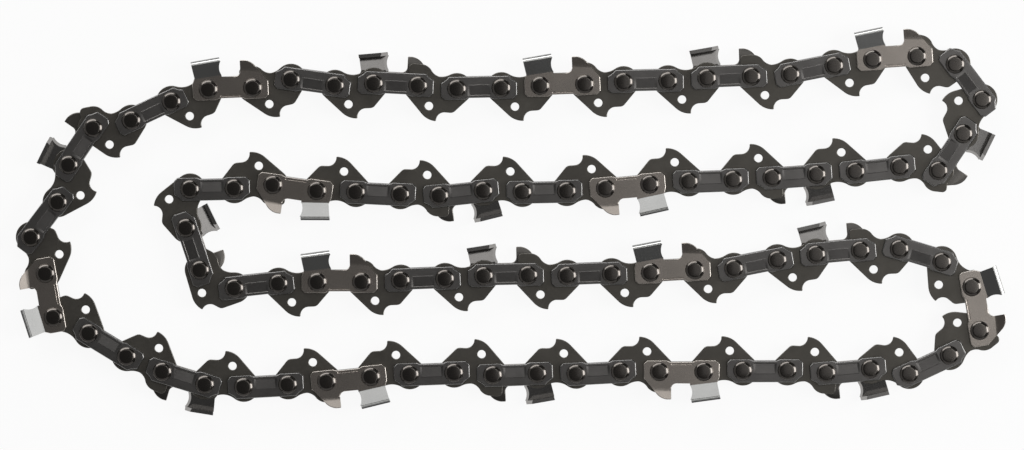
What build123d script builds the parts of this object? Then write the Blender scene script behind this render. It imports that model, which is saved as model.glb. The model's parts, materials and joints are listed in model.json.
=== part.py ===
from build123d import *
import cmath
import math
import os

# A chainsaw chain, closed into a loop and lying on its side in four rows.
# Millimetres, +Z up. The origin is under the middle of the loop, where it rests on its rivets.
# In a link's own frame the rear rivet is at the origin, +X runs forward along the chain,
# +Y points out of the loop to the cutting side, and Z = 0 is the middle plane of the chain.

# Rivet spacings: one of each makes twice the pitch of 9.32 (3/8 inch low profile)
DRIVE_SPACING = 8.71
STRAP_SPACING = 9.93

# Thicknesses across the chain
DRIVE_GAUGE = 1.1
PLATE_THICKNESS = 1.0
SIDE_CLEARANCE = 0.08

# Rivets
HUB_RADIUS = 2.0
HUB_CLEARANCE = 0.05
SHANK_RADIUS = 1.5
SHANK_CLEARANCE = 0.02
HEAD_BASE_RADIUS = 2.15
HEAD_TOP_RADIUS = 1.5
HEAD_HEIGHT = 0.75

# Drive link: eyes, the saddle between them, and the tang that runs in the bar's groove
EYE_RADIUS = 3.45
SADDLE_HEIGHT = 2.1
TANG_DEPTH = 7.7
TANG_TIP_AHEAD = 4.61
TIP_FACE = 0.24
TIP_ROUND = 0.2
SHOULDER_DEPTH = 5.56
SHOULDER_END_BEHIND = 0.45
SHOULDER_ROUND = 1.4
BACK_RADIUS = 4.6
TANG_HOLE_RADIUS = 0.93
TANG_HOLE_AHEAD = 2.8
TANG_HOLE_DEPTH = 4.43

# Bumper on the drive link in front of each cutter
BUMPER_HEIGHT = 4.77
BUMPER_REAR = 2.3
BUMPER_CORNER_RADIUS = 1.0
BUMPER_TOP_AHEAD = 0.3
BUMPER_KNEE = (2.6, 3.7)
BUMPER_FOOT = (4.6, 2.3)
BUMPER_NOSE_RADIUS = 3.0
BUMPER_FOOT_RADIUS = 2.9

# Tie strap
PLATE_END = 3.55
PLATE_TOP = 2.65
PLATE_FOOT = 2.5
STRAP_NOTCH_START = 1.75
STRAP_NOTCH_KINK = (2.3, 2.0)
STRAP_NOTCH_END = 1.2
FOOT_CHAMFER = 0.75
WAIST_RISE = 0.35
WAIST_LENGTH = 5.0
WAIST_SLOPE = 0.8
PANEL_LENGTH = 5.2
PANEL_TOP = 0.8
PANEL_BOTTOM = 1.6
PANEL_DEPTH = 0.12

# Cutter: side plate with its gullet and depth gauge
HEEL_CHAMFER_HEIGHT = 1.2
HEEL_CHAMFER_LENGTH = 0.65
CUTTER_SHELF_HEIGHT = 2.75
GULLET_FLOOR = 2.68
GULLET_START_AHEAD = 3.0
GULLET_RADIUS = 1.2
GAUGE_REAR = 2.62
GAUGE_HEIGHT = 6.22
GAUGE_TOP_LENGTH = 1.0
GAUGE_NOSE = (1.02, 4.5)
GAUGE_NOSE_RADIUS = 3.6
GAUGE_FOOT = (3.0, 2.0)
GAUGE_BEND_HEIGHT = 4.0
GAUGE_LEAN = 12
CUTTER_GROOVE_LENGTH = 4.6
CUTTER_GROOVE_WIDTH = 0.3
CUTTER_GROOVE_RISE = 0.5

# Cutter: the tooth, a bent plate that tips back and leans out, with a hollow-ground cutting edge in front
TOOTH_TIP_BACK = 7
TOOTH_BEND_HEIGHT = 2.7
TOOTH_HEIGHT = 6.65
TOOTH_LEAN = 11
TOOTH_ROOT_HEIGHT = 1.9
TOOTH_FRONT_AHEAD = 3.45
TOOTH_FRONT_FLARE = 3
TOOTH_REAR_BEHIND = 2.65
TOOTH_REAR_FLARE = 5
TOOTH_HOLLOW_RADIUS = 3.6
TOOTH_HOLLOW_AHEAD = 3.0
TOOTH_HOLLOW_HEIGHT = 4.3
TOP_PLATE_THICKNESS = 0.8
TOP_PLATE_OVERHANG = 0.9
CUTTING_ANGLE = 30

# The lay of the loop: each link's heading in whole degrees, rear rivet to front rivet.
# Outer links and drive links take turns, and the list starts with an outer link at the upper left.
# Rows that run back to the left are written as if they ran to the right.
TOP_ROW = [25, 18, 2, 12, -8, 3, -3, -5, 1, 3, 2, 3, 1, 4, 2, 3, 11, 9, 4, -12]
UPPER_RIGHT_TURN = [-53, -119, -124]
SECOND_ROW_BACK = [-6, 6, 4, 4, 3, 2, 4, 5, 4, 1, -2, 6, -2, -3, -2, -8, 5, 1]
LEFT_TURN = [-96, -72, -28]
THIRD_ROW = [6, 2, 0, 2, 2, 4, 1, -1, 2, 2, 3, 2, 11, 8, 5, 2]
LOWER_RIGHT_TURN = [-17, -40, -80, -141]
BOTTOM_ROW_BACK = [25, -7, 5, -3, 0, 2, 0, 0, 3, 0, 2, -3, 2, 4, 6, 5, 3, -3, -17]
LEFT_END = [158, 150, 157, 100, 113, 54, 75, 56, 11]

# Outer links that swing in step: both of a pair are as long and point opposite ways, so that
# when they turn together the chain between them only shifts, and the loop stays closed.
SWING_PAIRS = [
    (0, 64), (4, 38), (6, 36), (8, 32), (10, 28), (12, 40), (18, 26), (22, 90),
    (44, 78), (48, 76), (52, 74), (54, 72), (58, 66), (60, 82), (62, 86),
]

# Links whose headings take up the last millimetres that close the loop
CLOSING_ENDS = [83, 84, 85, 87, 88, 89]
CLOSING_ROW = range(65, 82, 2)

# Every second outer link is a cutter, by turns on the upper and the lower side of the lying chain.
# Their number is odd, so this one repeats the side of the cutter behind it.
FIRST_CUTTER = 2
CUTTER_STEP = 4
REPEATED_CUTTER = 26

# Derived sizes
INNER_FACE = DRIVE_GAUGE / 2 + SIDE_CLEARANCE
OUTER_FACE = INNER_FACE + PLATE_THICKNESS
HALF_WIDTH = OUTER_FACE + HEAD_HEIGHT
WIDE = 4 * STRAP_SPACING


def polar(radius, angle, centre=(0, 0)):
    """The point at a radius and an angle in degrees from a centre."""
    turn = math.radians(angle)
    return (centre[0] + radius * math.cos(turn), centre[1] + radius * math.sin(turn))


def saddle_hollow(run, height):
    """Radius of the hollow that starts level at a height and meets an eye's rim, its rivet a run away."""
    return (run**2 + height**2 - EYE_RADIUS**2) / (2 * (EYE_RADIUS - height))


def hollow_end(run, height):
    """Where that hollow meets the eye's rim, seen from the eye's rivet towards the level end."""
    radius = saddle_hollow(run, height)
    share = EYE_RADIUS / (EYE_RADIUS + radius)
    return (share * run, share * (height + radius))


def heel_angle():
    """Direction from the rear rivet in which the straight of the back leaves the eye's rim."""
    ahead = TANG_TIP_AHEAD
    below = BACK_RADIUS - TANG_DEPTH
    apart = math.hypot(ahead, below)
    return math.degrees(math.atan2(below, ahead) - math.acos((EYE_RADIUS - BACK_RADIUS) / apart))


def rivet():
    """A hub that the drive link turns on, a shank through each plate, and two formed heads."""
    half = [
        (0, HALF_WIDTH),
        (HEAD_TOP_RADIUS, HALF_WIDTH),
        (HEAD_BASE_RADIUS, OUTER_FACE),
        (SHANK_RADIUS, OUTER_FACE),
        (SHANK_RADIUS, INNER_FACE),
        (HUB_RADIUS, INNER_FACE),
    ]
    other_half = [(radius, -height) for radius, height in reversed(half)]
    with BuildPart() as part:
        with BuildSketch(Plane.XZ):
            with BuildLine():
                Polyline(*half, *other_half, close=True)
            make_face()
        revolve(axis=Axis.Z)
    return part.part


def plain_rear_top(heel):
    """Top edge of a plain drive link: round the rear eye, then down to the middle of the saddle."""
    middle = (DRIVE_SPACING / 2, SADDLE_HEIGHT)
    rim = hollow_end(*middle)
    ThreePointArc(heel, (0, EYE_RADIUS), rim)
    RadiusArc(rim, middle, -saddle_hollow(*middle))
    return middle


def bumper_rear_top(heel):
    """Top edge of a bumper drive link: a block over the rear eye that falls to the saddle."""
    rear_foot = (-BUMPER_REAR, math.sqrt(EYE_RADIUS**2 - BUMPER_REAR**2))
    rear_shoulder = (-BUMPER_REAR, BUMPER_HEIGHT - BUMPER_CORNER_RADIUS)
    top_rear = (-BUMPER_REAR + BUMPER_CORNER_RADIUS, BUMPER_HEIGHT)
    top_front = (BUMPER_TOP_AHEAD, BUMPER_HEIGHT)
    ThreePointArc(heel, (-EYE_RADIUS, 0), rear_foot)
    Line(rear_foot, rear_shoulder)
    RadiusArc(rear_shoulder, top_rear, BUMPER_CORNER_RADIUS)
    Line(top_rear, top_front)
    RadiusArc(top_front, BUMPER_KNEE, BUMPER_NOSE_RADIUS)
    RadiusArc(BUMPER_KNEE, BUMPER_FOOT, -BUMPER_FOOT_RADIUS)
    return BUMPER_FOOT


def drive_link(rear_top):
    """A drive link: two eyes, a saddle, and a hooked tang with a hole that carries oil."""
    front_rivet = (DRIVE_SPACING, 0)
    heel = polar(EYE_RADIUS, heel_angle())
    back_end = polar(BACK_RADIUS, heel_angle(), (TANG_TIP_AHEAD, BACK_RADIUS - TANG_DEPTH))
    tip = (TANG_TIP_AHEAD, -TANG_DEPTH)
    hook_end = (TANG_TIP_AHEAD, TIP_FACE - TANG_DEPTH)
    hook_radius = TANG_DEPTH - TIP_FACE - SHOULDER_DEPTH
    shoulder_start = (TANG_TIP_AHEAD + hook_radius, -SHOULDER_DEPTH)
    shoulder_end = (DRIVE_SPACING - SHOULDER_END_BEHIND, -SHOULDER_DEPTH)
    to_shoulder = math.degrees(math.atan2(-SHOULDER_DEPTH, -SHOULDER_END_BEHIND))
    reach = math.hypot(SHOULDER_DEPTH, SHOULDER_END_BEHIND)
    tangent_angle = to_shoulder + math.degrees(math.acos(EYE_RADIUS / reach))
    front_tangent = polar(EYE_RADIUS, tangent_angle, front_rivet)
    with BuildPart() as part:
        with BuildSketch(Plane.XY.offset(-DRIVE_GAUGE / 2)) as outline:
            with BuildLine():
                saddle = rear_top(heel)
                front_hollow = (DRIVE_SPACING - saddle[0], saddle[1])
                rim_run, rim_height = hollow_end(*front_hollow)
                front_rim = (DRIVE_SPACING - rim_run, rim_height)
                RadiusArc(saddle, front_rim, -saddle_hollow(*front_hollow))
                ThreePointArc(front_rim, (DRIVE_SPACING + EYE_RADIUS, 0), front_tangent)
                Polyline(front_tangent, shoulder_end, shoulder_start)
                RadiusArc(shoulder_start, hook_end, -hook_radius)
                Line(hook_end, tip)
                RadiusArc(tip, back_end, BACK_RADIUS)
                Line(back_end, heel)
            make_face()
            for corner, radius in ((shoulder_end, SHOULDER_ROUND), (tip, TIP_ROUND)):
                fillet(outline.vertices().sort_by_distance(corner)[0], radius)
            with Locations((0, 0), front_rivet):
                Circle(HUB_RADIUS + HUB_CLEARANCE, mode=Mode.SUBTRACT)
            with Locations((TANG_HOLE_AHEAD, -TANG_HOLE_DEPTH)):
                Circle(TANG_HOLE_RADIUS, mode=Mode.SUBTRACT)
        extrude(amount=DRIVE_GAUGE)
    return part.part


def foot_points():
    """Lower edge of a plate, front to rear: chamfered ends and a waist between the rivets."""
    middle = STRAP_SPACING / 2
    front = [
        (STRAP_SPACING + PLATE_END, -PLATE_FOOT + FOOT_CHAMFER),
        (STRAP_SPACING + PLATE_END - FOOT_CHAMFER, -PLATE_FOOT),
        (middle + WAIST_LENGTH / 2 + WAIST_SLOPE, -PLATE_FOOT),
        (middle + WAIST_LENGTH / 2, -PLATE_FOOT + WAIST_RISE),
    ]
    rear = [(STRAP_SPACING - x, y) for x, y in reversed(front)]
    return front + rear


def rivet_holes():
    """The two holes of a plate, cut from the sketch in hand."""
    with Locations((0, 0), (STRAP_SPACING, 0)):
        Circle(SHANK_RADIUS + SHANK_CLEARANCE, mode=Mode.SUBTRACT)


def tie_strap():
    """A tie strap on the +Z side, with notched upper corners and a shallow panel outside."""
    front_notch = [
        (STRAP_SPACING + STRAP_NOTCH_START, PLATE_TOP),
        (STRAP_SPACING + STRAP_NOTCH_KINK[0], STRAP_NOTCH_KINK[1]),
        (STRAP_SPACING + PLATE_END, STRAP_NOTCH_END),
    ]
    rear_notch = [(STRAP_SPACING - x, y) for x, y in reversed(front_notch)]
    with BuildPart() as part:
        with BuildSketch(Plane.XY.offset(INNER_FACE)):
            with BuildLine():
                Polyline(*rear_notch, *front_notch, *foot_points(), close=True)
            make_face()
            rivet_holes()
        extrude(amount=PLATE_THICKNESS)
        with BuildSketch(Plane.XY.offset(OUTER_FACE)):
            with Locations((STRAP_SPACING / 2, (PANEL_TOP - PANEL_BOTTOM) / 2)):
                Rectangle(PANEL_LENGTH, PANEL_TOP + PANEL_BOTTOM)
        extrude(amount=-PANEL_DEPTH, mode=Mode.SUBTRACT)
    return part.part


def cutter_side():
    """The cutter's side plate with its gullet and depth gauge, which leans out above a bend."""
    gauge_rear = STRAP_SPACING - GAUGE_REAR
    gullet_arc_start = (gauge_rear - GULLET_RADIUS, GULLET_FLOOR)
    gullet_arc_end = (gauge_rear, GULLET_FLOOR + GULLET_RADIUS)
    gauge_top_rear = (gauge_rear, GAUGE_HEIGHT)
    gauge_top_front = (gauge_rear + GAUGE_TOP_LENGTH, GAUGE_HEIGHT)
    gauge_nose = (STRAP_SPACING + GAUGE_NOSE[0], GAUGE_NOSE[1])
    gauge_foot = (STRAP_SPACING + GAUGE_FOOT[0], GAUGE_FOOT[1])
    front_end = (STRAP_SPACING + PLATE_END, GAUGE_FOOT[1] - (PLATE_END - GAUGE_FOOT[0]))
    heel = (-PLATE_END, HEEL_CHAMFER_HEIGHT)
    shelf_rear = (-PLATE_END + HEEL_CHAMFER_LENGTH, CUTTER_SHELF_HEIGHT)
    shelf_front = (GULLET_START_AHEAD - CUTTER_SHELF_HEIGHT + GULLET_FLOOR, CUTTER_SHELF_HEIGHT)
    gullet_start = (GULLET_START_AHEAD, GULLET_FLOOR)
    lean_height = GAUGE_HEIGHT - GAUGE_BEND_HEIGHT
    lean_out = lean_height * math.tan(math.radians(GAUGE_LEAN))
    section = [
        (-PLATE_FOOT, INNER_FACE),
        (GAUGE_BEND_HEIGHT, INNER_FACE),
        (GAUGE_HEIGHT, INNER_FACE + lean_out),
        (GAUGE_HEIGHT, OUTER_FACE + lean_out),
        (GAUGE_BEND_HEIGHT, OUTER_FACE),
        (-PLATE_FOOT, OUTER_FACE),
    ]
    with BuildPart() as part:
        with BuildSketch(Plane.YZ):
            with BuildLine():
                Polyline(*section, close=True)
            make_face()
        extrude(amount=WIDE, both=True)
        with BuildSketch(Plane.XY):
            with BuildLine():
                Polyline(gauge_foot, front_end, *foot_points(), heel, shelf_rear, shelf_front,
                         gullet_start, gullet_arc_start)
                RadiusArc(gullet_arc_start, gullet_arc_end, -GULLET_RADIUS)
                Polyline(gullet_arc_end, gauge_top_rear, gauge_top_front)
                RadiusArc(gauge_top_front, gauge_nose, GAUGE_NOSE_RADIUS)
                Line(gauge_nose, gauge_foot)
            make_face()
            rivet_holes()
        extrude(amount=OUTER_FACE + lean_out, mode=Mode.INTERSECT)
        with BuildSketch(Plane.XY.offset(OUTER_FACE)):
            groove_height = CUTTER_GROOVE_RISE + WAIST_RISE - PLATE_FOOT
            with Locations((STRAP_SPACING / 2, groove_height)):
                Rectangle(CUTTER_GROOVE_LENGTH, CUTTER_GROOVE_WIDTH)
        extrude(amount=-PANEL_DEPTH, mode=Mode.SUBTRACT)
    return part.part


def cutter_tooth():
    """The tooth: its side leans out from a bend, and its top plate reaches over the drive links."""
    underside = TOOTH_HEIGHT - TOP_PLATE_THICKNESS
    lean_out = (underside - TOOTH_BEND_HEIGHT) * math.tan(math.radians(TOOTH_LEAN))
    top_outer = OUTER_FACE + lean_out - TOP_PLATE_THICKNESS
    front_flare = math.tan(math.radians(TOOTH_FRONT_FLARE))
    rear_flare = math.tan(math.radians(TOOTH_REAR_FLARE))
    slant = math.tan(math.radians(CUTTING_ANGLE))
    front_point = (TOOTH_FRONT_AHEAD, TOOTH_BEND_HEIGHT, OUTER_FACE)
    rear_point = (-TOOTH_REAR_BEHIND, TOOTH_BEND_HEIGHT, OUTER_FACE)
    front = Plane(front_point, x_dir=(front_flare, 1, 0), z_dir=(1, -front_flare, -slant))
    rear = Plane(rear_point, x_dir=(0, 0, 1), z_dir=(-1, -rear_flare, 0))
    hollow_reach = TOOTH_HOLLOW_RADIUS * math.hypot(1, slant)
    hollow_point = (TOOTH_HOLLOW_AHEAD + hollow_reach, TOOTH_HOLLOW_HEIGHT, OUTER_FACE)
    hollow = Plane(hollow_point, x_dir=(0, 1, 0), z_dir=(slant, 0, 1))
    with BuildPart() as part:
        with BuildSketch(Plane.YZ):
            with BuildLine():
                Polyline(
                    (underside, OUTER_FACE + lean_out),
                    (TOOTH_BEND_HEIGHT, OUTER_FACE),
                    (TOOTH_ROOT_HEIGHT, OUTER_FACE),
                    (TOOTH_ROOT_HEIGHT, INNER_FACE),
                    (TOOTH_BEND_HEIGHT, INNER_FACE),
                    (underside, INNER_FACE + lean_out),
                    (underside, -TOP_PLATE_OVERHANG),
                    (TOOTH_HEIGHT, -TOP_PLATE_OVERHANG),
                    (TOOTH_HEIGHT, top_outer),
                )
                RadiusArc((TOOTH_HEIGHT, top_outer), (underside, OUTER_FACE + lean_out),
                          TOP_PLATE_THICKNESS)
            make_face()
        extrude(amount=WIDE, both=True)
        split(bisect_by=front, keep=Keep.BOTTOM)
        split(bisect_by=rear, keep=Keep.BOTTOM)
        with BuildSketch(hollow):
            Circle(TOOTH_HOLLOW_RADIUS)
        extrude(amount=WIDE, both=True, mode=Mode.SUBTRACT)
    return Rot(0, 0, TOOTH_TIP_BACK) * part.part


def cutter():
    """A cutter on the +Z side: side plate, depth gauge and tooth bent from one blank."""
    return cutter_side() + cutter_tooth()


def link_headings():
    """The heading of each link in degrees, with the swing pairs exactly opposite."""
    headings = TOP_ROW + UPPER_RIGHT_TURN
    headings = headings + [180 + heading for heading in SECOND_ROW_BACK]
    headings = headings + LEFT_TURN + THIRD_ROW + LOWER_RIGHT_TURN
    headings = headings + [180 + heading for heading in BOTTOM_ROW_BACK] + LEFT_END
    for first, second in SWING_PAIRS:
        headings[second] = headings[first] + 180
    return headings


def spacing(link):
    """Rivet to rivet on a link: outer links are even, drive links are odd."""
    return DRIVE_SPACING if link % 2 else STRAP_SPACING


def closing_gap(headings):
    """What is missing from the last rivet to the first, as x + iy."""
    return sum(cmath.rect(spacing(link), math.radians(h)) for link, h in enumerate(headings))


def close_loop(headings):
    """Turn the closing links by two small angles until the loop meets itself."""
    for _ in range(len(headings)):
        gap = closing_gap(headings)
        moves = []
        for links in (CLOSING_ENDS, CLOSING_ROW):
            span = sum(cmath.rect(spacing(link), math.radians(headings[link])) for link in links)
            moves.append(span * 1j)
        along, across = moves
        det = along.real * across.imag - along.imag * across.real
        end_turn = (-gap.real * across.imag + gap.imag * across.real) / det
        row_turn = (-along.real * gap.imag + along.imag * gap.real) / det
        for link in CLOSING_ENDS:
            headings[link] += math.degrees(end_turn)
        for link in CLOSING_ROW:
            headings[link] += math.degrees(row_turn)
    return headings


def rivet_centres(headings):
    """Each link's rear rivet, walking round the loop from the first."""
    centres = [0j]
    for link, heading in enumerate(headings[:-1]):
        centres.append(centres[-1] + cmath.rect(spacing(link), math.radians(heading)))
    return centres


def is_cutter(link):
    """Whether an outer link carries a cutter."""
    return link % CUTTER_STEP == FIRST_CUTTER


def cutter_is_upper(link):
    """Whether a cutter link has its cutter on the upper side of the lying chain."""
    turn = (link - FIRST_CUTTER) // CUTTER_STEP
    return (turn + (link >= REPEATED_CUTTER)) % 2 == 0


def link_groups(count):
    """Node name and links of each rigid group: swinging outer links, and the runs between them."""
    swinging = sorted(link for pair in SWING_PAIRS for link in pair)
    groups = {}
    for link, following in zip(swinging, swinging[1:] + [count + swinging[0]]):
        kind = "cutter_link" if is_cutter(link) else "tie_strap_link"
        groups[f"{kind}_{link:02d}"] = [link]
        run = list(range(link + 1, following))
        if len(run) == 1:
            groups[f"drive_link_{run[0]:02d}"] = run
        else:
            groups[f"chain_run_{run[0]:02d}_to_{run[-1]:02d}"] = run
    return groups


def outer_link(link, pieces):
    """The four pieces of an outer link: upper plate, lower plate and two rivets."""
    upper, lower = pieces["upper_strap"], pieces["lower_strap"]
    if is_cutter(link) and cutter_is_upper(link):
        upper = pieces["upper_cutter"]
    elif is_cutter(link):
        lower = pieces["lower_cutter"]
    return [upper, lower, pieces["rivet"], Pos(STRAP_SPACING, 0, 0) * pieces["rivet"]]


def link_pieces(link, pieces):
    """The pieces of one link in its own frame. The drive link in front of a cutter has a bumper."""
    if link % 2 == 0:
        return outer_link(link, pieces)
    return [pieces["bumper_link"] if is_cutter(link - 1) else pieces["drive_link"]]


def main():
    headings = close_loop(link_headings())
    centres = rivet_centres(headings)
    strap = tie_strap()
    tooth_plate = cutter()
    pieces = {
        "rivet": rivet(),
        "upper_strap": strap,
        "lower_strap": mirror(strap, about=Plane.XY),
        "upper_cutter": tooth_plate,
        "lower_cutter": mirror(tooth_plate, about=Plane.XY),
        "drive_link": drive_link(plain_rear_top),
        "bumper_link": drive_link(bumper_rear_top),
    }
    laid = {}
    for node, links in link_groups(len(headings)).items():
        laid[node] = []
        for link in links:
            place = Pos(centres[link].real, centres[link].imag, HALF_WIDTH) * Rot(0, 0, headings[link])
            laid[node] += [place * piece.solid() for piece in link_pieces(link, pieces)]
    box = Compound([solid for solids in laid.values() for solid in solids]).bounding_box()
    to_origin = Pos(-box.center().X, -box.center().Y, -box.min.Z)
    os.makedirs("parts", exist_ok=True)
    for node, solids in laid.items():
        export_step(Compound([to_origin * solid for solid in solids]), f"parts/{node}.step")
    return headings, centres, to_origin


if __name__ == "__main__":
    main()
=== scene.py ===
import json
import math

import bmesh
import bpy
from mathutils import Euler, Matrix, Vector


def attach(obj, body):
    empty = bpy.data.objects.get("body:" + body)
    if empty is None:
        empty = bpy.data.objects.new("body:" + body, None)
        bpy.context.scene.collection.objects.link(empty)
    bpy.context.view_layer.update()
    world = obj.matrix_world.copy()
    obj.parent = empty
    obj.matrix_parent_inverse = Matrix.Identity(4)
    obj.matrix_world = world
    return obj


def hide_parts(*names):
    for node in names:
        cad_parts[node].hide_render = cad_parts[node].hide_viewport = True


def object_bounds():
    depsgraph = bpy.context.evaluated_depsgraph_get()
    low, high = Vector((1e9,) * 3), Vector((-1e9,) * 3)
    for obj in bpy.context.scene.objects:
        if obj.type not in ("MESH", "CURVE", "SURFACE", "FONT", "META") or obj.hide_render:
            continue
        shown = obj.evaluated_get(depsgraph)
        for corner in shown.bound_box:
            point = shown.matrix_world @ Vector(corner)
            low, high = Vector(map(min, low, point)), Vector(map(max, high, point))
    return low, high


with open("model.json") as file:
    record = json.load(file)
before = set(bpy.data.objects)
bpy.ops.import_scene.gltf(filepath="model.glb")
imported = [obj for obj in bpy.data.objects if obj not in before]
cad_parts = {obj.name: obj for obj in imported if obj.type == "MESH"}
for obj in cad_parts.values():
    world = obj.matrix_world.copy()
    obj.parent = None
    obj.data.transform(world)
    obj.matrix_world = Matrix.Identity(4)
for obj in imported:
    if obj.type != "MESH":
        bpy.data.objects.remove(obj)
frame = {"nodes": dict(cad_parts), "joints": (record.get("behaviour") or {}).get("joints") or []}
cad_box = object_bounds()

# Sizes are in millimetres and the scene is in metres
MM = 0.001

# Points nearer than this are one point
TOUCHING = 0.001

# Rounded edges: their widths, and the steps across each
STRAP_ROUND = 0.22
DRIVE_ROUND = 0.12
CUTTER_ROUND = 0.18
PANEL_ROUND = 0.05
BEND_ROUND = 0.6
ROUND_STEPS = 3
BEND_STEPS = 4
ROUND_PROFILE = 0.5

# An edge is sharp from SHARP_ANGLE on, and a bend from BEND_ANGLE on; flatter ones lie within a face
SHARP_ANGLE = math.radians(35)
BEND_ANGLE = math.radians(3)
LEVEL_ANGLE = math.radians(0.5)

# A wall's normal rises by less than UPRIGHT_FACING; one lower than FULL_WALL belongs to a panel or groove
UPRIGHT_FACING = 0.5
FULL_WALL = 0.4

# Faces of a tooth above this area, in square millimetres, keep their breaks from FLAT_ANGLE on
FLAT_AREA = 1.0
FLAT_ANGLE = math.radians(8)

# Each kind of plate: the link that its form is taken from, its side of that link, and its edges' width
PLATES = {
    "upper_strap": ("tie_strap_link_04", "upper", STRAP_ROUND),
    "lower_strap": ("tie_strap_link_04", "lower", STRAP_ROUND),
    "upper_cutter": ("cutter_link_10", "upper", CUTTER_ROUND),
    "lower_cutter": ("cutter_link_06", "lower", CUTTER_ROUND),
    "drive_link": ("drive_link_05", "middle", DRIVE_ROUND),
    "bumper_link": ("drive_link_07", "middle", DRIVE_ROUND),
}

# An upper or lower plate reaches out past PLATE_OUT, and on the other side of the middle less than PLATE_BACK
PLATE_OUT = 1.0
PLATE_BACK = 1.5

# The stamped panel of a strap: proud along its upper edge and sunk along its lower edge, with sloping walls
PANEL_RISE = 0.06
PANEL_FALL = 0.15
PANEL_WALL_RUN = 0.08
PANEL_END_RUN = 0.45

# Where a cutter turns from plate to bright tooth, in its link's own frame
TOOTH_ROOT = 2.75
TOOTH_TOP = 8.25
TOOTH_FRONT = 4.2
TOOTH_EDGES_FROM = 2.9

# How much of a face's normal has to point inwards, or outwards, for the face to be on that side
INSIDE_FACING = 0.3
OUTSIDE_FACING = 0.9

# The rear top corner of a tooth is eased inwards, which leaves room for the strap behind it at a tight turn
CORNER_ABOVE = 4.5
CORNER_BEHIND = -3.2
CORNER_EASE = 0.06

# The bends of the tooth and the depth gauge lie below this height
BENDS_BELOW = 4.5

# Rivet: half of its outline from the middle of the head outwards, radius and depth below its end
RIVET_HEAD = [
    (0.0, 0.0), (1.35, 0.0), (1.48, 0.01), (1.58, 0.04), (1.68, 0.09), (1.82, 0.17),
    (1.96, 0.265), (2.05, 0.36), (2.11, 0.48), (2.14, 0.60), (2.15, 0.75),
]
RIVET_SHANK_RADIUS = 1.5
RIVET_HUB_RADIUS = 2.0
PLATE_THICKNESS = 1.0
RIVET_SIDES = 40

# The rim of a rivet's lower end lies below RIVET_END_BELOW and is less than RIVET_END_ACROSS wide
RIVET_END_BELOW = 0.1
RIVET_END_ACROSS = 4.0

# Metals: colour, roughness, how much the grain changes colour, roughness and relief, and share of clear coat
# Each edge metal is lighter than its face metal: partly wear, partly a painted highlight for the light that
# the rounded edges catch
METALS = {
    "blackened_drive_steel": ((0.122, 0.114, 0.101), 0.40, 0.25, 0.25, 0.06, 0.0),
    "worn_and_sheen_drive_edge": ((0.16, 0.15, 0.135), 0.30, 0.2, 0.2, 0.04, 0.0),
    "blued_strap_steel": ((0.168, 0.161, 0.155), 0.32, 0.25, 0.2, 0.05, 0.0),
    "worn_and_sheen_strap_edge": ((0.24, 0.235, 0.23), 0.26, 0.15, 0.1, 0.03, 0.0),
    "plated_cutter_steel": ((0.45, 0.405, 0.365), 0.22, 0.15, 0.04, 0.005, 0.0),
    "worn_and_sheen_cutter_edge": ((0.50, 0.46, 0.42), 0.24, 0.15, 0.05, 0.01, 0.0),
    "bare_cutter_steel": ((0.14, 0.132, 0.122), 0.30, 0.15, 0.05, 0.005, 0.0),
    "bare_tooth_steel": ((0.29, 0.28, 0.27), 0.20, 0.15, 0.05, 0.005, 0.0),
    "bright_tooth_chrome": ((0.50, 0.50, 0.49), 0.17, 0.1, 0.05, 0.005, 0.0),
    "polished_black_rivet": ((0.098, 0.088, 0.079), 0.18, 0.2, 0.1, 0.01, 0.5),
}
COAT_ROUGHNESS = 0.08

# Grain: size and detail of the fine and the broad one, and depth of the fine one's relief
FINE_GRAIN = 0.35
FINE_DETAIL = 4
BROAD_GRAIN = 5
BROAD_DETAIL = 2
RELIEF_DEPTH = 0.02

# The metals of each kind of piece, in the order of its slots: faces, edges (lighter than the faces: wear and
# a painted highlight), and on a cutter the rest
STRAP_METALS = ["blued_strap_steel", "worn_and_sheen_strap_edge"]
DRIVE_METALS = ["blackened_drive_steel", "worn_and_sheen_drive_edge"]
CUTTER_METALS = [
    "plated_cutter_steel", "worn_and_sheen_cutter_edge", "bright_tooth_chrome", "bare_cutter_steel", "bare_tooth_steel",
]
RIVET_METALS = ["polished_black_rivet"]
FACE_SLOT = 0
EDGE_SLOT = 1
TOOTH_SLOT = 2
INSIDE_SLOT = 3
TOOTH_INSIDE_SLOT = 4

# Camera: far above the loop and almost upright, as in the photograph; angles in degrees
IMAGE_WIDTH = 1024
CAMERA_DISTANCE = 2500.0
CAMERA_NEAR = 10
CAMERA_LEAN_X = 1.6
CAMERA_LEAN_Y = 2.6
PIXELS_PER_MM = 4.477
CAMERA_X = 0.49
CAMERA_Y = -0.66
CAMERA_ROLL = -0.23
SENSOR_WIDTH = 36.0

# Floor and lights; each soft box has its place, its two sides and its brightness, where 1 is white
FLOOR_SIDE = 6000.0
FLOOR_COLOUR = (0.86, 0.86, 0.855, 1)
FLOOR_ROUGHNESS = 0.9
FLOOR_GLOW = 0.92
WORLD_COLOUR = (1.0, 1.0, 1.0, 1)
WORLD_STRENGTH = 0.08
LIGHTS = {
    "overhead_back": ((0, 355, 1000), (760, 250), 1.0),
    "overhead_right": ((325, 0, 1000), (760, 270), 1.0),
    "overhead_glow": ((370, 0, 1015), (300, 760), 0.4),
    "low_right": ((900, 40, 480), (560, 640), 7.0),
    "low_back": ((-330, 900, 480), (1300, 480), 3.6),
    "low_front": ((0, -1000, 480), (1600, 700), 0.3),
    "low_left": ((-1000, -100, 480), (1600, 700), 0.25),
}


def node_links(name):
    """The numbers of the links in a node, from its name."""
    numbers = [int(word) for word in name.split("_") if word.isdigit()]
    return list(range(numbers[0], numbers[-1] + 1))


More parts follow.
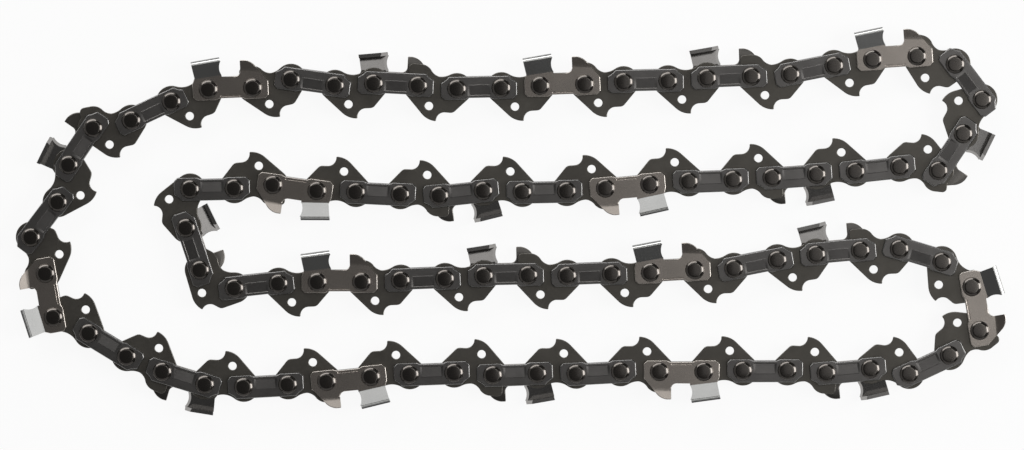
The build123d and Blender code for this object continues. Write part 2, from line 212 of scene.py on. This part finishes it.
def circle_centre(rim):
    """Centre of the circle that points on its rim lie on."""
    first = rim[0]
    across = max((p - first for p in rim), key=lambda side: side.length)
    aside = max((p - first for p in rim), key=lambda side: min(side.length, (side - across).length))
    area = 2 * (across.x * aside.y - across.y * aside.x)
    x = (aside.y * across.length_squared - across.y * aside.length_squared) / area
    y = (across.x * aside.length_squared - aside.x * across.length_squared) / area
    return Vector((first.x + x, first.y + y))


def rivet_ends(node):
    """Centres of the rivet ends that a node stands on."""
    points = [vertex.co / MM for vertex in node.data.vertices]
    low = [point for point in points if point.z < RIVET_END_BELOW]
    centres = []
    while low:
        group = [p for p in low if (p - low[0]).length < RIVET_END_ACROSS]
        low = [p for p in low if (p - low[0]).length >= RIVET_END_ACROSS]
        centres.append(circle_centre(group))
    return centres


def walk_rivets():
    """Every rivet in the order of travel, from link to link; rivet n is the rear one of link n."""
    pivots = {j["name"]: Vector(j["pos_m"][:2]) / MM for j in frame["joints"]}
    drive_spacing = (pivots["pivot_06"] - pivots["pivot_05"]).length
    strap_spacing = (pivots["pivot_05"] - pivots["pivot_04"]).length
    outer_nodes = [node for name, node in frame["nodes"].items() if "drive_link" not in name]
    left = [centre for node in outer_nodes for centre in rivet_ends(node)]
    walk = []
    for start in ("pivot_00", "pivot_01"):
        walk.append(min(left, key=lambda c: (c - pivots[start]).length))
        left.remove(walk[-1])
    while left:
        spacing = drive_spacing if len(walk) % 2 == 0 else strap_spacing
        walk.append(min(left, key=lambda c: abs((c - walk[-1]).length - spacing)))
        left.remove(walk[-1])
    return walk


rivets = walk_rivets()
link_count = len(rivets)
half_width = cad_box[1].z / MM / 2
link_node = {link: name for name in frame["nodes"] for link in node_links(name)}


def link_matrix(link):
    """Placement of a link's own frame: rear rivet at its origin, X to the front rivet."""
    rear = rivets[link]
    along = rivets[(link + 1) % link_count] - rear
    turn = Matrix.Rotation(math.atan2(along.y, along.x), 4, "Z")
    return Matrix.Translation((rear.x, rear.y, half_width)) @ turn


def islands(form):
    """The vertices of each loose part of a form."""
    seen = set()
    for start in form.verts:
        if start in seen:
            continue
        seen.add(start)
        part = [start]
        for vertex in part:
            for edge in vertex.link_edges:
                other = edge.other_vert(vertex)
                if other not in seen:
                    seen.add(other)
                    part.append(other)
        yield part


def on_side(side, low, high):
    """Whether a solid from a low to a high point is the plate on a side of its link."""
    if side == "upper":
        return low > -PLATE_BACK and high > PLATE_OUT
    if side == "lower":
        return high < PLATE_BACK and low < -PLATE_OUT
    return True


def source_form(node_name, side):
    """The form of one solid of a node in its link's own frame, picked by its lowest and highest point."""
    form = bmesh.new()
    form.from_mesh(frame["nodes"][node_name].data)
    to_link = link_matrix(node_links(node_name)[0]).inverted() @ Matrix.Scale(1 / MM, 4)
    bmesh.ops.transform(form, matrix=to_link, verts=form.verts)
    bmesh.ops.remove_doubles(form, verts=form.verts, dist=TOUCHING)
    unwanted = []
    for part in islands(form):
        low = min(v.co.z for v in part)
        high = max(v.co.z for v in part)
        if not on_side(side, low, high):
            unwanted += part
    bmesh.ops.delete(form, geom=unwanted, context="VERTS")
    bmesh.ops.dissolve_limit(form, angle_limit=LEVEL_ANGLE, verts=form.verts, edges=form.edges)
    return form


def wall_height(edge):
    """Height of the upright wall beside an edge, or 0 where there is none."""
    walls = [face for face in edge.link_faces if abs(face.normal.z) < UPRIGHT_FACING]
    return max((max(v.co.z for v in f.verts) - min(v.co.z for v in f.verts) for f in walls), default=0)


def stamp_panel(form):
    """Shape a strap's panel: its upper edge stands proud and its floor falls. Returns the panel's edges."""
    outer = max(abs(v.co.z) for v in form.verts)
    floor = [v for v in form.verts if TOUCHING < outer - abs(v.co.z) < FULL_WALL]
    rim = [edge.other_vert(v) for v in floor for edge in v.link_edges]
    middle = sum((v.co for v in floor), Vector()) / len(floor)
    for vertex in floor:
        depth = -PANEL_RISE if vertex.co.y > middle.y else PANEL_FALL
        vertex.co.x += math.copysign(PANEL_END_RUN, middle.x - vertex.co.x)
        vertex.co.y += math.copysign(PANEL_WALL_RUN, middle.y - vertex.co.y)
        vertex.co.z = math.copysign(outer - depth, vertex.co.z)
    return [edge for edge in form.edges if all(v in rim for v in edge.verts)]


def ease_corner(form):
    """Ease the rear top corner of a cutter's tooth inwards."""
    for vertex in form.verts:
        if vertex.co.y > CORNER_ABOVE and vertex.co.x < CORNER_BEHIND:
            vertex.co.x += CORNER_EASE
            vertex.co.y -= CORNER_EASE


def is_bend(edge):
    """Whether an edge is the outer fold where a cutter's tooth or depth gauge leans out of its plate."""
    middle = (edge.verts[0].co + edge.verts[1].co) / 2
    outward = math.copysign(1, middle.z)
    outside = all(face.normal.z * outward > OUTSIDE_FACING for face in edge.link_faces)
    return outside and middle.y < BENDS_BELOW and BEND_ANGLE < edge.calc_face_angle() < SHARP_ANGLE


def on_tooth(edge):
    """Whether an edge belongs to a cutter's ground tooth, which stays sharp."""
    return any(v.co.y > TOOTH_EDGES_FROM and v.co.x < TOOTH_FRONT for v in edge.verts)


def round_edges(form, width, panel, sharp_tooth):
    """Round the edges: bends widely, low walls of a panel or groove narrowly, the outline by a width."""
    joined = [e for e in form.edges if e.is_manifold]
    bends = [e for e in joined if sharp_tooth and is_bend(e)]
    sharp = [e for e in joined if e.calc_face_angle() > SHARP_ANGLE and e not in panel]
    low = panel + [e for e in sharp if 0 < wall_height(e) < FULL_WALL]
    outline = [e for e in sharp if e not in low and not (sharp_tooth and on_tooth(e))]
    rounds = (
        (bends, BEND_ROUND, BEND_STEPS, FACE_SLOT),
        (low, PANEL_ROUND, ROUND_STEPS, FACE_SLOT),
        # The outline's rounded edges take the lighter edge metal, which is partly wear and partly a painted
        # highlight
        (outline, width, ROUND_STEPS, EDGE_SLOT),
    )
    for edges, offset, steps, slot in rounds:
        edges = [edge for edge in edges if edge.is_valid]
        bmesh.ops.bevel(
            form, geom=edges, offset=offset, offset_type="OFFSET", segments=steps, profile=ROUND_PROFILE,
            affect="EDGES", clamp_overlap=False, material=slot, loop_slide=True,
        )
    form.normal_update()


def mark_sharp(form, sharp_tooth):
    """Mark the edges where shading breaks: steep ones, and those round the large flat faces of a tooth."""
    for edge in form.edges:
        flat = max((face.calc_area() for face in edge.link_faces), default=0) > FLAT_AREA
        limit = FLAT_ANGLE if sharp_tooth and flat and on_tooth(edge) else SHARP_ANGLE
        edge.smooth = edge.is_manifold and edge.calc_face_angle() < limit


def paint_cutter(form):
    """Give the bright tooth of a cutter, its inner faces and those of the plate their own slots."""
    outward = math.copysign(1, sum(v.co.z for v in form.verts))
    for face in form.faces:
        middle = face.calc_center_median()
        tooth = middle.y > TOOTH_ROOT and middle.x < TOOTH_FRONT
        inside = face.normal.z * outward < -INSIDE_FACING
        under = face.normal.y < -INSIDE_FACING
        if tooth:
            face.material_index = TOOTH_INSIDE_SLOT if inside or under else TOOTH_SLOT
        elif inside:
            face.material_index = INSIDE_SLOT


def finished_mesh(name, form, metal_names):
    """A mesh in metres with smooth rounded edges and flat faces."""
    bmesh.ops.scale(form, vec=(MM, MM, MM), verts=form.verts)
    raw = bpy.data.meshes.new(name)
    form.to_mesh(raw)
    form.free()
    raw.polygons.foreach_set("use_smooth", [True] * len(raw.polygons))
    for metal_name in metal_names:
        raw.materials.append(metals[metal_name])
    holder = bpy.data.objects.new(name, raw)
    bpy.context.scene.collection.objects.link(holder)
    holder.modifiers.new("flat faces", "WEIGHTED_NORMAL").keep_sharp = True
    mesh = bpy.data.meshes.new_from_object(holder.evaluated_get(bpy.context.evaluated_depsgraph_get()))
    mesh.name = name
    bpy.data.objects.remove(holder)
    return mesh


def rivet_form():
    """A rivet turned about Z: two flat heads with sloping rims, two shanks and the hub between them."""
    outline = [(r, half_width - depth) for r, depth in RIVET_HEAD]
    head_height = RIVET_HEAD[-1][1]
    plate_outer = half_width - head_height
    plate_inner = plate_outer - PLATE_THICKNESS
    outline += [(RIVET_SHANK_RADIUS, plate_outer), (RIVET_SHANK_RADIUS, plate_inner)]
    outline += [(RIVET_HUB_RADIUS, plate_inner)]
    outline += [(r, -z) for r, z in reversed(outline)]
    form = bmesh.new()
    verts = [form.verts.new((r, 0, z)) for r, z in outline]
    edges = [form.edges.new(pair) for pair in zip(verts, verts[1:])]
    bmesh.ops.spin(
        form, geom=verts + edges, axis=(0, 0, 1), cent=(0, 0, 0), angle=math.tau, steps=RIVET_SIDES,
        use_merge=True,
    )
    bmesh.ops.remove_doubles(form, verts=form.verts, dist=TOUCHING)
    bmesh.ops.recalc_face_normals(form, faces=form.faces)
    return form


def metal(name, colour, roughness, grain, spread, relief, coat):
    """Metal with fine grain in its roughness and broad grain in its colour, different on each piece."""
    material = bpy.data.materials.new(name)
    material.use_nodes = True
    nodes = material.node_tree.nodes
    links = material.node_tree.links
    shader = nodes["Principled BSDF"]
    shader.inputs["Metallic"].default_value = 1
    shader.inputs["Coat Weight"].default_value = coat
    shader.inputs["Coat Roughness"].default_value = COAT_ROUGHNESS
    place = nodes.new("ShaderNodeTexCoord")
    info = nodes.new("ShaderNodeObjectInfo")
    moved = nodes.new("ShaderNodeVectorMath")
    links.new(place.outputs["Object"], moved.inputs[0])
    links.new(info.outputs["Location"], moved.inputs[1])
    fine = nodes.new("ShaderNodeTexNoise")
    fine.inputs["Scale"].default_value = 1 / (FINE_GRAIN * MM)
    fine.inputs["Detail"].default_value = FINE_DETAIL
    broad = nodes.new("ShaderNodeTexNoise")
    broad.inputs["Scale"].default_value = 1 / (BROAD_GRAIN * MM)
    broad.inputs["Detail"].default_value = BROAD_DETAIL
    for noise in (fine, broad):
        links.new(moved.outputs["Vector"], noise.inputs["Vector"])
    shade = nodes.new("ShaderNodeMix")
    shade.data_type = "RGBA"
    low = [c * (1 - grain) for c in colour]
    high = [min(1, c * (1 + grain)) for c in colour]
    shade.inputs["A"].default_value = (*low, 1)
    shade.inputs["B"].default_value = (*high, 1)
    links.new(broad.outputs["Fac"], shade.inputs["Factor"])
    links.new(shade.outputs["Result"], shader.inputs["Base Color"])
    rough = nodes.new("ShaderNodeMapRange")
    rough.inputs["To Min"].default_value = roughness * (1 - spread)
    rough.inputs["To Max"].default_value = roughness * (1 + spread)
    links.new(fine.outputs["Fac"], rough.inputs["Value"])
    links.new(rough.outputs["Result"], shader.inputs["Roughness"])
    bump = nodes.new("ShaderNodeBump")
    bump.inputs["Strength"].default_value = relief
    bump.inputs["Distance"].default_value = RELIEF_DEPTH * MM
    links.new(fine.outputs["Fac"], bump.inputs["Height"])
    links.new(bump.outputs["Normal"], shader.inputs["Normal"])
    return material


metals = {name: metal(name, *look) for name, look in METALS.items()}


def strap_mesh(kind):
    """A finished tie strap with its stamped panel."""
    node_name, side, width = PLATES[kind]
    form = source_form(node_name, side)
    panel = stamp_panel(form)
    round_edges(form, width, panel, sharp_tooth=False)
    mark_sharp(form, sharp_tooth=False)
    return finished_mesh(kind, form, STRAP_METALS)


def cutter_mesh(kind):
    """A finished cutter with its sharp tooth."""
    node_name, side, width = PLATES[kind]
    form = source_form(node_name, side)
    ease_corner(form)
    round_edges(form, width, [], sharp_tooth=True)
    mark_sharp(form, sharp_tooth=True)
    paint_cutter(form)
    return finished_mesh(kind, form, CUTTER_METALS)


def drive_mesh(kind):
    """A finished drive link, plain or with a bumper."""
    node_name, side, width = PLATES[kind]
    form = source_form(node_name, side)
    round_edges(form, width, [], sharp_tooth=False)
    mark_sharp(form, sharp_tooth=False)
    return finished_mesh(kind, form, DRIVE_METALS)


def rivet_mesh():
    """A finished rivet."""
    form = rivet_form()
    mark_sharp(form, sharp_tooth=False)
    return finished_mesh("rivet", form, RIVET_METALS)


def piece_kinds():
    """The finished mesh of each kind of piece."""
    kinds = {"rivet": rivet_mesh()}
    for kind in PLATES:
        if "strap" in kind:
            kinds[kind] = strap_mesh(kind)
        elif "cutter" in kind:
            kinds[kind] = cutter_mesh(kind)
        else:
            kinds[kind] = drive_mesh(kind)
    return kinds


def cutter_side(link):
    """Which plate of an outer link is a cutter: upper, lower or neither, from where its tooth is."""
    to_link = link_matrix(link).inverted()
    points = [to_link @ (v.co / MM) for v in frame["nodes"][link_node[link]].data.vertices]
    tooth = [p.z for p in points if TOOTH_ROOT < p.y < TOOTH_TOP and -TOOTH_FRONT < p.x < TOOTH_FRONT]
    reach = max(tooth, default=0) + min(tooth, default=0)
    if abs(reach) < FULL_WALL:
        return "neither"
    return "upper" if reach > 0 else "lower"


def link_pieces(link):
    """The kinds of piece in a link, with how far along the link each one stands."""
    if link % 2:
        return [("bumper_link" if cutter_side(link - 1) != "neither" else "drive_link", 0)]
    side = cutter_side(link)
    spacing = (rivets[(link + 1) % link_count] - rivets[link]).length
    upper = "upper_cutter" if side == "upper" else "upper_strap"
    lower = "lower_cutter" if side == "lower" else "lower_strap"
    return [(upper, 0), (lower, 0), ("rivet", 0), ("rivet", spacing)]


def lay_pieces():
    """Every piece of the chain, in its place, on the body of its node."""
    kinds = piece_kinds()
    for link in range(link_count):
        node = link_node[link]
        for order, (kind, ahead) in enumerate(link_pieces(link)):
            name = f"{kind}_{link:02d}_{order}"
            place = link_matrix(link) @ Matrix.Translation((ahead, 0, 0))
            mesh = kinds[kind].copy()
            mesh.name = name
            mesh.transform(place.to_3x3().to_4x4())
            piece = bpy.data.objects.new(name, mesh)
            bpy.context.scene.collection.objects.link(piece)
            piece.matrix_world = Matrix.Translation(place.translation * MM)
            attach(piece, node)
            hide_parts(node)
            node.rsplit("_", 1)[0] if "run" not in node else "chain_run"


def floor_material():
    """A pale matt floor that shows nearly white to the eye and in the metal, and takes the loop's shadow."""
    material = bpy.data.materials.new("pale_floor")
    material.use_nodes = True
    nodes = material.node_tree.nodes
    links = material.node_tree.links
    shader = nodes["Principled BSDF"]
    shader.inputs["Base Color"].default_value = FLOOR_COLOUR
    shader.inputs["Roughness"].default_value = FLOOR_ROUGHNESS
    glow = nodes.new("ShaderNodeEmission")
    path = nodes.new("ShaderNodeLightPath")
    seen = nodes.new("ShaderNodeMath")
    seen.operation = "MAXIMUM"
    links.new(path.outputs["Is Camera Ray"], seen.inputs[0])
    links.new(path.outputs["Is Glossy Ray"], seen.inputs[1])
    seen_through = nodes.new("ShaderNodeMath")
    seen_through.operation = "MAXIMUM"
    links.new(seen.outputs["Value"], seen_through.inputs[0])
    links.new(path.outputs["Is Transmission Ray"], seen_through.inputs[1])
    share = nodes.new("ShaderNodeMath")
    share.operation = "MULTIPLY"
    share.inputs[1].default_value = FLOOR_GLOW
    links.new(seen_through.outputs["Value"], share.inputs[0])
    mix = nodes.new("ShaderNodeMixShader")
    links.new(share.outputs["Value"], mix.inputs["Fac"])
    links.new(shader.outputs["BSDF"], mix.inputs[1])
    links.new(glow.outputs["Emission"], mix.inputs[2])
    links.new(mix.outputs["Shader"], nodes["Material Output"].inputs["Surface"])
    return material


def add_floor():
    """A plain pale floor that the rivets stand on."""
    half = FLOOR_SIDE / 2 * MM
    corners = [(-half, -half, 0), (half, -half, 0), (half, half, 0), (-half, half, 0)]
    mesh = bpy.data.meshes.new("floor")
    mesh.from_pydata(corners, [], [(0, 1, 2, 3)])
    mesh.materials.append(floor_material())
    floor = bpy.data.objects.new("floor", mesh)
    bpy.context.scene.collection.objects.link(floor)


def add_lights():
    """Soft boxes round the loop, and an even white surround."""
    world = bpy.data.worlds.new("studio")
    world.use_nodes = True
    surround = world.node_tree.nodes["Background"]
    surround.inputs["Color"].default_value = WORLD_COLOUR
    surround.inputs["Strength"].default_value = WORLD_STRENGTH
    bpy.context.scene.world = world
    for name, (place, (width, depth), brightness) in LIGHTS.items():
        light = bpy.data.lights.new(name, "AREA")
        light.shape = "RECTANGLE"
        light.size = width * MM
        light.size_y = depth * MM
        light.energy = brightness * math.pi * light.size * light.size_y
        lamp = bpy.data.objects.new(name, light)
        bpy.context.scene.collection.objects.link(lamp)
        lamp.location = Vector(place) * MM
        lamp.rotation_euler = (-lamp.location).to_track_quat("-Z", "Y").to_euler()


def add_camera():
    """The camera above the loop, at the photograph's scale on the rivet ends."""
    data = bpy.data.cameras.new("camera")
    data.sensor_width = SENSOR_WIDTH
    data.sensor_fit = "HORIZONTAL"
    data.lens = SENSOR_WIDTH * CAMERA_DISTANCE * PIXELS_PER_MM / IMAGE_WIDTH
    data.clip_start = CAMERA_NEAR * MM
    camera = bpy.data.objects.new("camera", data)
    bpy.context.scene.collection.objects.link(camera)
    turn = Euler([math.radians(angle) for angle in (-CAMERA_LEAN_Y, CAMERA_LEAN_X, CAMERA_ROLL)])
    aim = Vector((CAMERA_X, CAMERA_Y, 2 * half_width))
    camera.location = (aim + turn.to_matrix() @ Vector((0, 0, CAMERA_DISTANCE))) * MM
    camera.rotation_euler = turn
    bpy.context.scene.camera = camera


lay_pieces()
add_floor()
add_lights()
add_camera()
bpy.context.scene.view_settings.view_transform = "Standard"
